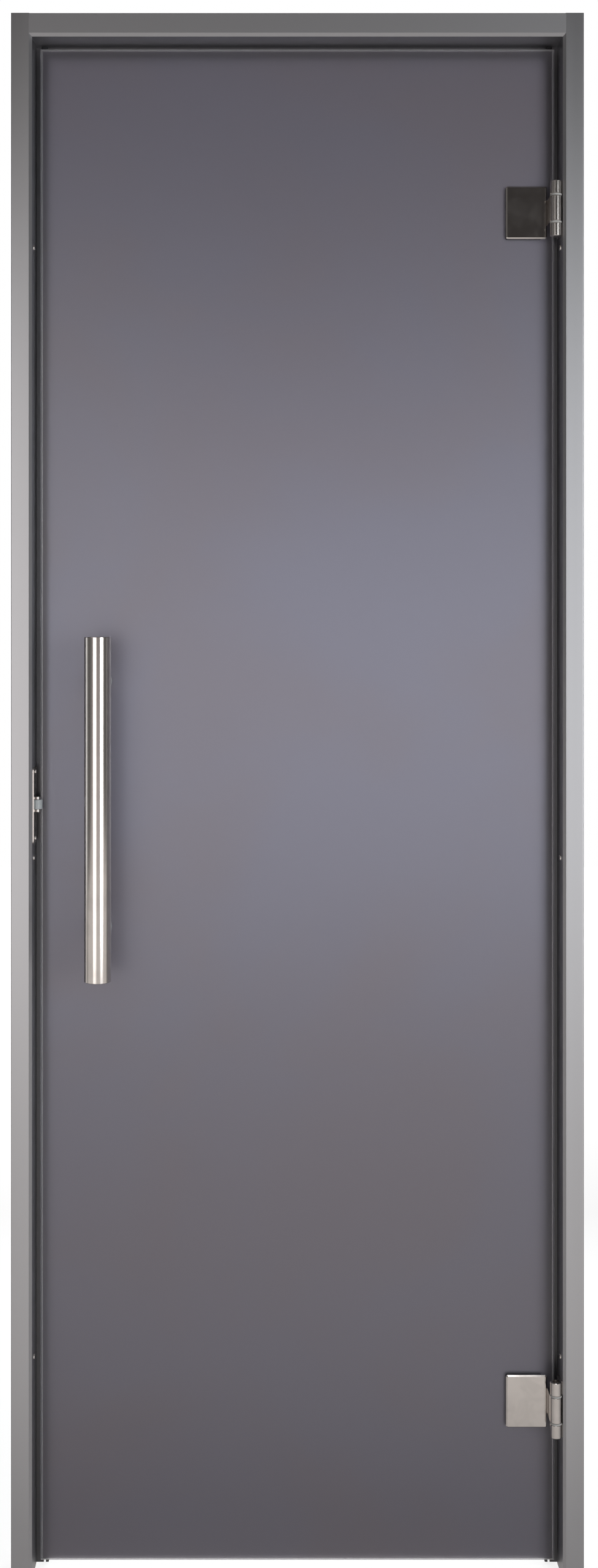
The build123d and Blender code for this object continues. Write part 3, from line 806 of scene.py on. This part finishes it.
class STEAMDOOR_OT_add_hinge_screws(bpy.types.Operator):
    """Countersunk screws in the frame leaves, and in the clamp plates inside the room"""

    bl_idname = "steam_door.add_hinge_screws"
    bl_label = "Add Hinge Screws"

    def execute(self, context):
        size = settings().screws
        leaf_thickness = 0.003
        leaf_row = 0.0065
        leaf_margin = 0.0105
        clamp_half_spacing = 0.018
        leaf_places = []
        clamp_places = []
        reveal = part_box("hinge_jamb")[0].x
        for place in HINGES:
            low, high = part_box(f"{place}_hinge_frame_leaf")
            depth = high.y - leaf_row
            for height in (low.z + leaf_margin, (low.z + high.z) / 2, high.z - leaf_margin):
                leaf_places.append(((reveal - leaf_thickness, depth, height), (-1, 0, 0)))
            low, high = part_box(f"{place}_hinge_inner_plate")
            cover_low, cover_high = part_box(f"{place}_hinge_cover_plate")
            along = (cover_low.x + cover_high.x) / 2
            for way in (-1, 1):
                height = (low.z + high.z) / 2 + way * clamp_half_spacing
                clamp_places.append(((along, high.y, height), (0, 1, 0)))
        leaf_head = flat_head(size.flat_radius)
        set_screws("hinge_leaf_screws", "frame", leaf_head, leaf_places, screw_steel())
        clamp_head = flat_head(size.clamp_radius)
        set_screws("hinge_clamp_screws", "door", clamp_head, clamp_places, screw_steel())
        return {"FINISHED"}


class STEAMDOOR_OT_add_catch_screws(bpy.types.Operator):
    """Two pan head screws that hold the catch's plate"""

    bl_idname = "steam_door.add_catch_screws"
    bl_label = "Add Catch Screws"

    def execute(self, context):
        end_margin = 0.0055
        low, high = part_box("catch_plate")
        depth = (low.y + high.y) / 2
        heights = (low.z + end_margin, high.z - end_margin)
        places = [((high.x, depth, height), (1, 0, 0)) for height in heights]
        head = pan_head(settings().screws.catch_radius)
        set_screws("catch_plate_screws", "frame", head, places, screw_steel())
        return {"FINISHED"}


def place_lamp(name, place, target, size, power, color):
    """A rectangular lamp that looks at a point."""
    lamp = bpy.data.lights.new(name, "AREA")
    lamp.shape = "RECTANGLE"
    lamp.size, lamp.size_y = size
    lamp.energy = power
    lamp.color = color
    holder = bpy.data.objects.new(name, lamp)
    bpy.context.collection.objects.link(holder)
    holder.location = place
    holder.rotation_euler = (Vector(target) - Vector(place)).to_track_quat("-Z", "Y").to_euler()
    holder.visible_camera = False
    return holder


def room_world(look):
    """White for the camera, white behind the door for polish and glass, a dim room in front."""
    world = bpy.data.worlds.new("Studio Room")
    bpy.context.scene.world = world
    world.use_nodes = True
    tree = world.node_tree
    background = tree.nodes["Background"]
    rays = add_node(tree, "ShaderNodeLightPath", (-900, 400))
    ways = add_node(tree, "ShaderNodeTexCoord", (-1100, 0))
    split = add_node(tree, "ShaderNodeSeparateXYZ", (-900, 0))
    tree.links.new(ways.outputs["Generated"], split.inputs["Vector"])
    up = ease(tree, split.outputs["Z"], -0.2, 0.14, (-700, 0))
    aside = ease(tree, split.outputs["Y"], -0.95, -0.4, (-700, -150))
    behind = ease(tree, split.outputs["Y"], -0.1, 0.25, (-700, -300))
    high = ease(tree, split.outputs["Z"], 0.0, 0.5, (-700, -450))
    ahead = mix_colors(tree, up, look.room_color, look.dark_color, (-600, 0))
    room = mix_colors(tree, aside, ahead, look.side_color, (-500, 0))
    back = mix_colors(tree, high, look.behind_color, look.behind_high_color, (-500, -300))
    mirrored = mix_colors(tree, behind, room, back, (-300, 0))
    clear = math_node(
        tree, "MAXIMUM", (-700, 300), rays.outputs["Is Glossy Ray"], rays.outputs["Is Transmission Ray"]
    )
    ambient = [look.ambient] * 3
    seen = mix_colors(tree, clear, ambient, mirrored, (-100, 100))
    shown = mix_colors(tree, rays.outputs["Is Camera Ray"], seen, (1.0, 1.0, 1.0), (100, 200))
    tree.links.new(shown, background.inputs["Color"])


def pale_floor(look):
    """A pale floor, white to the camera away from the door, that glows a little in what mirrors it, less
    by the door as painted shade.
    """
    shape = bmesh.new()
    bmesh.ops.create_grid(shape, x_segments=8, y_segments=8, size=6.0)
    mesh = bpy.data.meshes.new("studio_floor")
    shape.to_mesh(mesh)
    shape.free()
    floor = bpy.data.objects.new("studio_floor", mesh)
    bpy.context.collection.objects.link(floor)
    material, tree, shader, mapping = new_material("Studio Floor")
    shader.inputs["Base Color"].default_value = (*look.floor_color, 1.0)
    shader.inputs["Roughness"].default_value = 0.85
    rays = add_node(tree, "ShaderNodeLightPath", (-700, -300))
    split = add_node(tree, "ShaderNodeSeparateXYZ", (-900, -500))
    tree.links.new(mapping.outputs["Vector"], split.inputs["Vector"])
    away = math_node(tree, "ABSOLUTE", (-700, -600), split.outputs["Y"])
    # Painted shade: the floor's glow in polish and glass is dimmed by the door, where the door shades the
    # floor.
    white = ease(tree, away, 0.1, 0.8, (-500, -600), low=look.floor_shade)
    clear = math_node(
        tree, "MAXIMUM", (-500, -400), rays.outputs["Is Glossy Ray"], rays.outputs["Is Transmission Ray"]
    )
    mirrored = math_node(tree, "MULTIPLY", (-350, -400), clear, look.floor_glow)
    graded = math_node(tree, "MULTIPLY", (-250, -600), mirrored, white)
    distance = add_node(tree, "ShaderNodeVectorMath", (-700, -150), operation="LENGTH")
    tree.links.new(mapping.outputs["Vector"], distance.inputs[0])
    paler = ease(tree, distance.outputs["Value"], 0.4, 2.5, (-500, -250), low=look.floor_white)
    seen = rays.outputs["Is Camera Ray"]
    shown = math_node(tree, "MULTIPLY", (-350, -250), seen, paler)
    glow = math_node(tree, "ADD", (-150, -500), shown, graded)
    color = mix_colors(tree, seen, look.floor_tint, (1.0, 1.0, 1.0), (-150, -250))
    tree.links.new(color, shader.inputs["Emission Color"])
    tree.links.new(glow, shader.inputs["Emission Strength"])
    mesh.materials.append(material)


class STEAMDOOR_OT_set_stage(bpy.types.Operator):
    """Camera, lamps, floor and backdrop"""

    bl_idname = "steam_door.set_stage"
    bl_label = "Set Stage"

    def execute(self, context):
        look = settings().studio
        scene = context.scene
        scene.view_settings.view_transform = "Standard"
        room_world(look)
        pale_floor(look)
        camera = bpy.data.cameras.new("Camera")
        camera.sensor_fit = "VERTICAL"
        camera.sensor_height = 36.0
        camera.lens = look.lens
        camera.shift_x, camera.shift_y = look.camera_shift
        holder = bpy.data.objects.new("Camera", camera)
        scene.collection.objects.link(holder)
        holder.location = look.camera_place
        holder.rotation_euler = (math.pi / 2, 0, 0)
        scene.camera = holder
        x = look.camera_place[0]
        size = look.softbox_size
        aim = (x, 0, look.aim_height)
        for lamp in (
            place_lamp("left_softbox", look.left_place, aim, size, look.left_power, look.warm),
            place_lamp("right_softbox", look.right_place, aim, size, look.right_power, look.cool),
        ):
            lamp.data.spread = look.softbox_spread
        place = (x, -1.1, 2.75)
        aim = (x, 0, 0.2)
        size = (1.4, 0.5)
        top = place_lamp("top_panel", place, aim, size, look.top_power, (1.0, 1.0, 1.0))
        top.data.spread = look.top_spread
        place = (x + look.back_offset, 1.25, 1.05)
        aim = (x + look.back_offset, 0, 1.0)
        size = (1.4, 0.9)
        place_lamp("back_panel", place, aim, size, look.back_power, look.back_tint)
        return {"FINISHED"}


OPERATORS = (
    STEAMDOOR_OT_finish_frame,
    STEAMDOOR_OT_finish_glass,
    STEAMDOOR_OT_finish_seals,
    STEAMDOOR_OT_finish_hinges,
    STEAMDOOR_OT_finish_handles,
    STEAMDOOR_OT_finish_catch,
    STEAMDOOR_OT_add_frame_screws,
    STEAMDOOR_OT_add_stop_screws,
    STEAMDOOR_OT_add_hinge_screws,
    STEAMDOOR_OT_add_catch_screws,
    STEAMDOOR_OT_set_stage,
)


class STEAMDOOR_PT_panel(bpy.types.Panel):
    """The steps of the door's looks, in order"""

    bl_idname = "STEAMDOOR_PT_panel"
    bl_label = "Steam Room Door"
    bl_space_type = "VIEW_3D"
    bl_region_type = "UI"
    bl_category = "Steam Door"

    def draw(self, context):
        for operator in OPERATORS:
            self.layout.operator(operator.bl_idname)


SETTINGS = (
    FrameFinish,
    GlassFinish,
    SteelFinish,
    PlasticFinish,
    ScrewSizes,
    Studio,
    DoorSettings,
)
CLASSES = (*SETTINGS, *OPERATORS, STEAMDOOR_PT_panel)


def register():
    for cls in CLASSES:
        bpy.utils.register_class(cls)
    bpy.types.Scene.steam_door = PointerProperty(type=DoorSettings)


def unregister():
    del bpy.types.Scene.steam_door
    for cls in reversed(CLASSES):
        bpy.utils.unregister_class(cls)


def main():
    register()
    bpy.ops.steam_door.finish_frame()
    bpy.ops.steam_door.finish_glass()
    bpy.ops.steam_door.finish_seals()
    bpy.ops.steam_door.finish_hinges()
    bpy.ops.steam_door.finish_handles()
    bpy.ops.steam_door.finish_catch()
    bpy.ops.steam_door.add_frame_screws()
    bpy.ops.steam_door.add_stop_screws()
    bpy.ops.steam_door.add_hinge_screws()
    bpy.ops.steam_door.add_catch_screws()
    bpy.ops.steam_door.set_stage()


if __name__ == "__main__":
    main()
